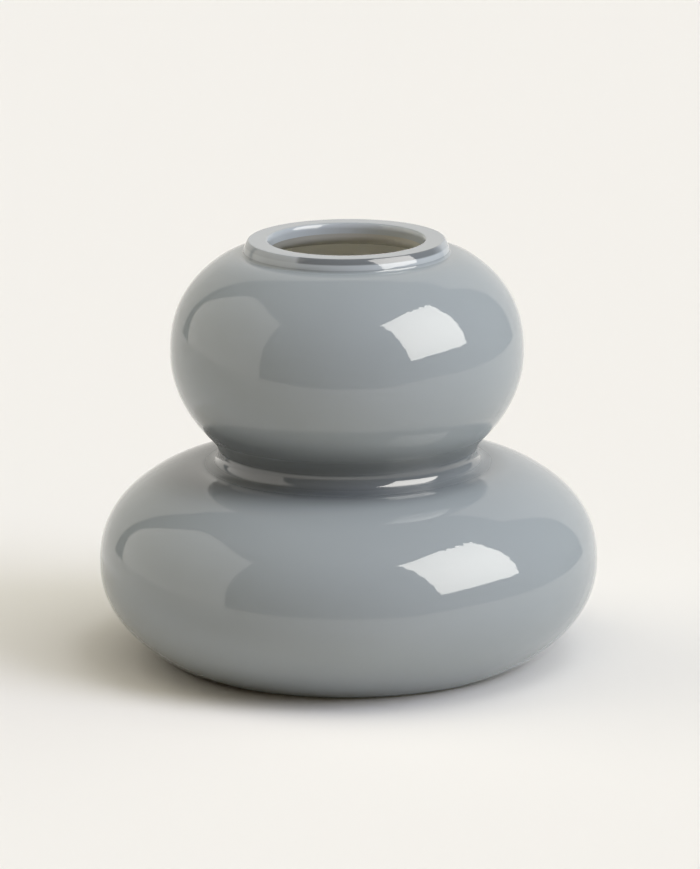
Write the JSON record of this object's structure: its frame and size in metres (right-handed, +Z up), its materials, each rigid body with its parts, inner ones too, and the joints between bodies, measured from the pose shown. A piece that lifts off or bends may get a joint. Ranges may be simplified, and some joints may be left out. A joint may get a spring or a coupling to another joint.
{
  "type": "vase",
  "caption": "Squat blown glass vase: a wide flattened bulb, a pinched waist, a smaller round bulb above and a short thick lip, hollow right through to a heavy ground base.",
  "frame": {"origin": "middle of the base, in the plane it stands on", "axes": "+Z up along the axis the vase is blown round; the view in the picture looks along +Y with +X to the right"},
  "size_m": [0.2, 0.2, 0.17],
  "materials": {
    "grey_glass": "polished opaque blown glass, blue grey, mirror gloss",
    "lip_glass": "fire polished wrapped glass, blue grey, slightly paler",
    "pale_lining": "fire polished opal glass, warm off white"
  },
  "bodies": {
    "root": {"base_disc": "grey_glass", "lower_bulb": "grey_glass", "lower_lining": "pale_lining", "waist_joint": "grey_glass", "upper_bulb": "grey_glass", "upper_lining": "pale_lining", "lip_wrap": "lip_glass"}
  },
  "joints": []
}
